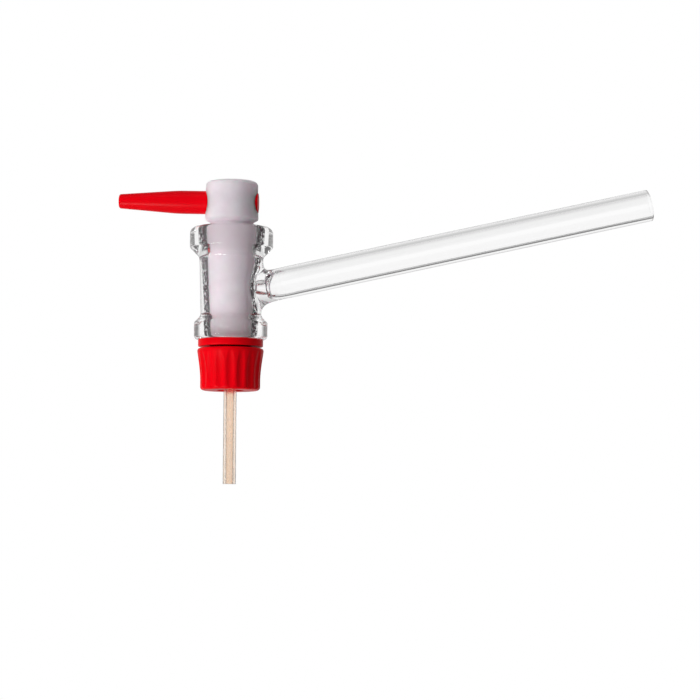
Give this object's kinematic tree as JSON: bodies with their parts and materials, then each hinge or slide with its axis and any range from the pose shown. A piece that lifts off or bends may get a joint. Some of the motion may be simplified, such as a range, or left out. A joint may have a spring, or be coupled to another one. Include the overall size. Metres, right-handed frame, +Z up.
{
  "type": "glass stopcock",
  "caption": "Right-angle glass stopcock: clear barrel with a fused rising side arm, white tapered key, red handle and screw cap, and a straight dispensing tip.",
  "frame": {"origin": "centre of the open lower end of the dispensing tip, on the axis of the key", "axes": "+Z up the axis of the key, from the tip to the head; +X away from the key in the vertical plane of the side arm"},
  "size_m": [0.1588, 0.0244, 0.0891],
  "materials": {
    "clear_glass": "clear borosilicate glass, flame worked, with a ground bore",
    "white_fluoropolymer": "turned PTFE, milky white with a soft satin surface",
    "red_plastic": "moulded red plastic, satin gloss",
    "dark_rubber": "dark moulded rubber",
    "ivory_fluoropolymer": "translucent warm ivory PTFE tube"
  },
  "bodies": {
    "barrel": {"glass_barrel": "clear_glass"},
    "key_and_tip": {"key": "white_fluoropolymer", "handle": "red_plastic", "dispensing_tip": "ivory_fluoropolymer"},
    "seals": {"slip_washer": "red_plastic", "o_ring": "dark_rubber"},
    "cap": {"screw_cap": "red_plastic"}
  },
  "joints": [
    {"name": "key_turn", "type": "hinge", "parent": "barrel", "child": "key_and_tip", "pos_m": [0, 0, 0.0578], "axis": [0, 0, 1], "continuous": true},
    {"name": "cap_travel", "type": "slide", "parent": "key_and_tip", "child": "seals", "axis": [0, 0, -1], "range_m": [0, 0.006]},
    {"name": "cap_turn", "type": "hinge", "parent": "seals", "child": "cap", "pos_m": [0, 0, 0.0336], "axis": [0, 0, -1], "range_deg": [0, 1440]}
  ],
  "couplings": [
    {"joint": "cap_turn", "follows": "cap_travel", "rad_per_m": 4188.8}
  ]
}
